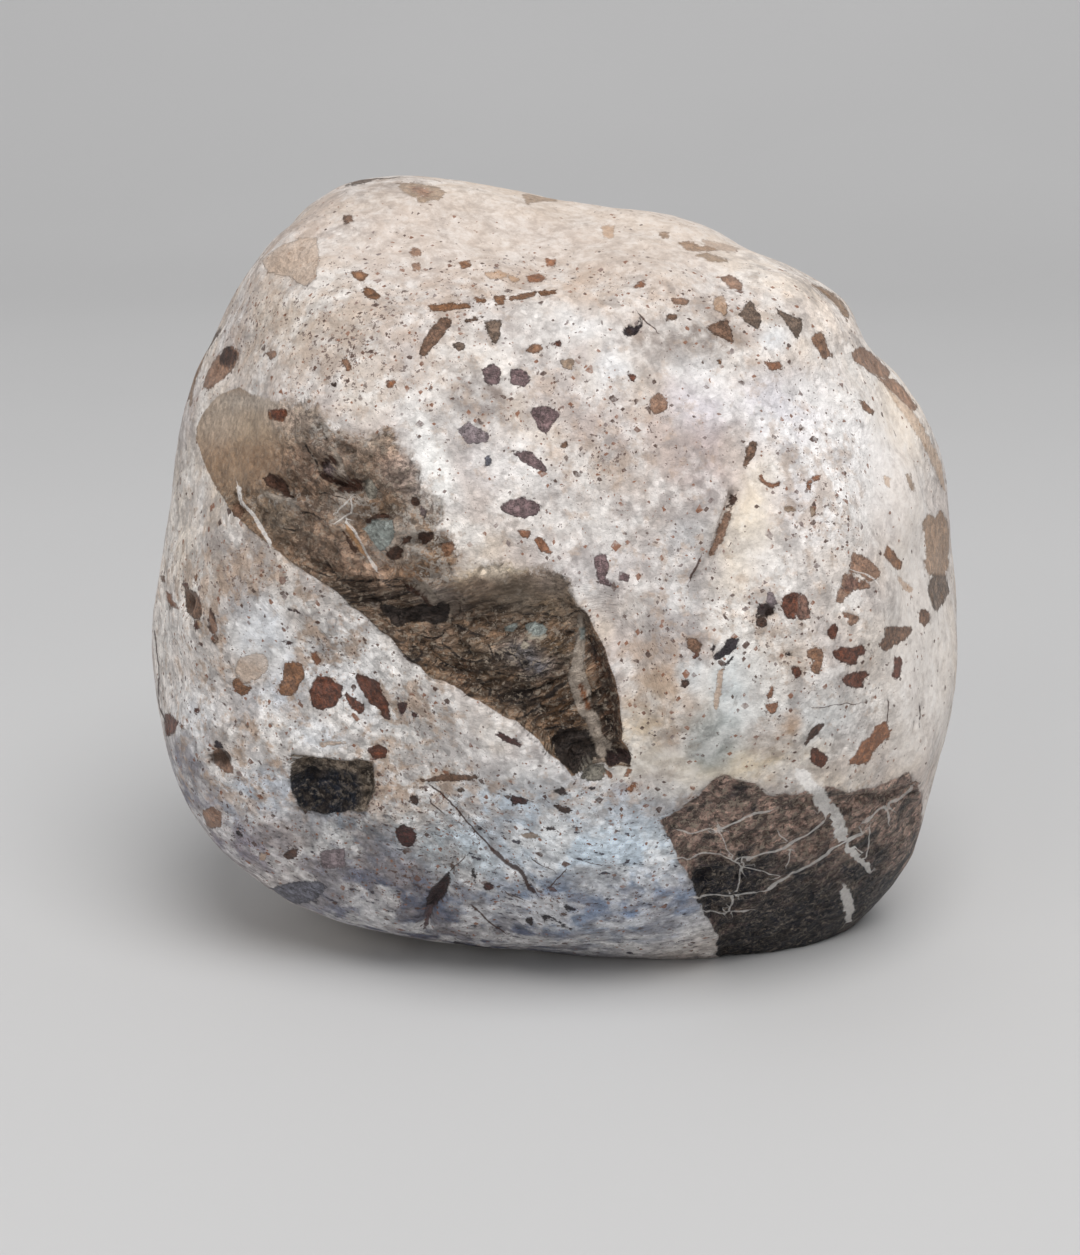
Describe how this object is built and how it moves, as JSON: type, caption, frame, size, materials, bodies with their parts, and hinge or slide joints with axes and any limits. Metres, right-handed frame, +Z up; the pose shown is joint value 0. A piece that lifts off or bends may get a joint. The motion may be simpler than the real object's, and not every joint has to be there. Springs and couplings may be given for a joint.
{
  "type": "puddingstone cobble",
  "caption": "Hand-sized puddingstone cobble: worn pale matrix with angular brown clasts, a long weathered-out wedge clast on its broad face; lies on a small flat spot.",
  "frame": {"origin": "on the flat spot the stone lies on, below its middle", "axes": "+Z up, the broad worn face with the wedge clast towards -Y, +X to the right when looking at that face"},
  "size_m": [0.0817, 0.0671, 0.0757],
  "materials": {
    "stone": "matt, worn smooth, rough in the hollows"
  },
  "bodies": {
    "root": {"puddingstone": "stone"}
  },
  "joints": []
}
